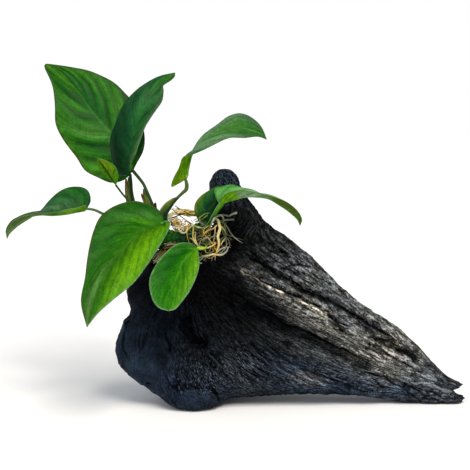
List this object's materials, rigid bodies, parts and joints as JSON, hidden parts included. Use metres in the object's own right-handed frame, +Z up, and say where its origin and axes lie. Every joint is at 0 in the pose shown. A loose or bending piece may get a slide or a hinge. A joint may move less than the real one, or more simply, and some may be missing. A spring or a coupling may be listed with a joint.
{
  "type": "anubias on driftwood",
  "caption": "Broad-leaved aquarium plant rooted in the saddle of a dark, fluted piece of driftwood that lies on a flat surface.",
  "frame": {"origin": "under the middle of the whole object, on the surface that it stands on", "axes": "+Z up; +X along the wood towards its long pointed end; -Y is the side on which the plant shows best"},
  "size_m": [0.3194, 0.137, 0.237],
  "materials": {
    "wood": "wet, almost black, grained",
    "rhizome": "satin green stem",
    "leaf": "waxy green leaf",
    "young_leaf": "soft yellow-green leaf",
    "stalk": "satin green stem",
    "sheath": "dry and papery",
    "root": "matt fibre"
  },
  "bodies": {
    "root": {"driftwood": "wood", "rhizome": "rhizome", "leaf_tall_left": "leaf", "leaf_tall_dark": "leaf", "leaf_young": "young_leaf", "leaf_low_left": "leaf", "leaf_front": "leaf", "leaf_front_small": "leaf", "leaf_arching": "leaf", "leaf_over_wood": "leaf", "leaf_behind_root": "leaf", "stalk_tall_left": "stalk", "stalk_tall_dark": "stalk", "stalk_young": "stalk", "stalk_low_left": "stalk", "stalk_front": "stalk", "stalk_front_small": "stalk", "stalk_arching": "stalk", "stalk_over_wood": "stalk", "stalk_behind_root": "stalk", "sheath_tall": "sheath", "sheath_dark": "sheath", "sheath_arching": "sheath", "old_stump": "sheath", "root_tangle": "root", "root_bundle": "root", "root_right": "root", "root_low": "root", "root_stub": "root"}
  },
  "joints": []
}
